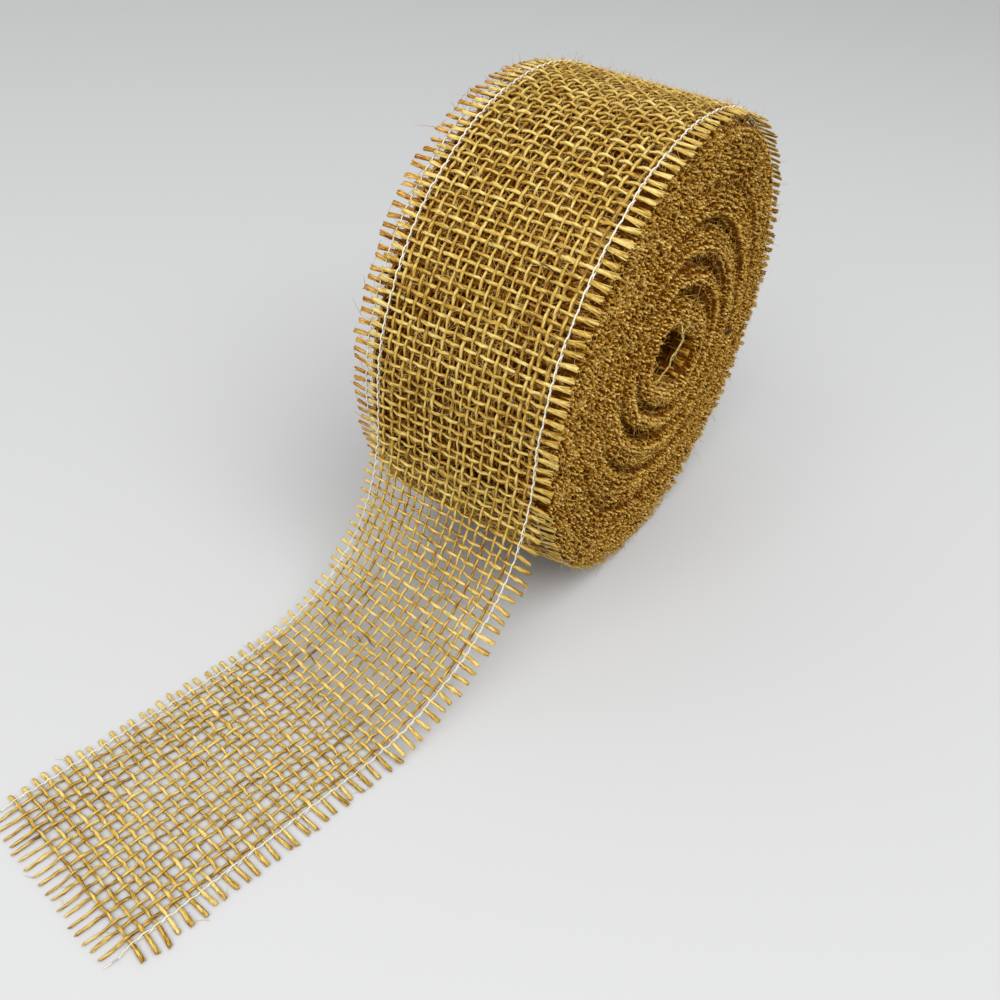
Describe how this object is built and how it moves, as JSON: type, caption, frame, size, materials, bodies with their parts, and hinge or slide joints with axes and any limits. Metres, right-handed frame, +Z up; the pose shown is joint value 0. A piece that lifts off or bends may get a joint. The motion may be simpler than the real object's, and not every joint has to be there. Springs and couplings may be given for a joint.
{
  "type": "ribbon spool",
  "caption": "Coreless roll of open-weave natural jute ribbon with white edge stitching and a fringed free end drawn off onto the table.",
  "frame": {"origin": "centre of the roll's eye, on its axis at mid width", "axes": "+X along the roll's axis, +Z up, the free end lies towards -Y"},
  "size_m": [0.0769, 0.2621, 0.1352],
  "materials": {
    "jute_warp": "spun jute, dry and slightly glossy",
    "jute_weft": "spun jute, dry and slightly glossy",
    "jute_coil": "cut yarn ends, matt",
    "sewing_thread": "spun polyester, satin"
  },
  "bodies": {
    "ribbon_run": {"wefts_outer_turn": "jute_weft", "wefts_free_span": "jute_weft", "wefts_floor_tail": "jute_weft", "warp_yarn_01": "jute_warp", "warp_yarn_02": "jute_warp", "warp_yarn_03": "jute_warp", "warp_yarn_04": "jute_warp", "warp_yarn_05": "jute_warp", "warp_yarn_06": "jute_warp", "warp_yarn_07": "jute_warp", "warp_yarn_08": "jute_warp", "warp_yarn_09": "jute_warp", "warp_yarn_10": "jute_warp", "warp_yarn_11": "jute_warp", "warp_yarn_12": "jute_warp", "warp_yarn_13": "jute_warp", "warp_yarn_14": "jute_warp", "warp_yarn_15": "jute_warp", "warp_yarn_16": "jute_warp", "warp_yarn_17": "jute_warp", "warp_yarn_18": "jute_warp", "needle_thread_left": "sewing_thread", "needle_thread_right": "sewing_thread", "bobbin_thread_left": "sewing_thread", "bobbin_thread_right": "sewing_thread"},
    "coil": {"second_turn": "jute_coil", "wound_turns": "jute_coil", "eye_turn": "jute_coil", "coil_thread_left": "sewing_thread", "coil_thread_right": "sewing_thread"}
  },
  "joints": [
    {"name": "coil_spin", "type": "hinge", "parent": "ribbon_run", "child": "coil", "pos_m": [0, 0, 0], "axis": [1, 0, 0], "continuous": true}
  ]
}
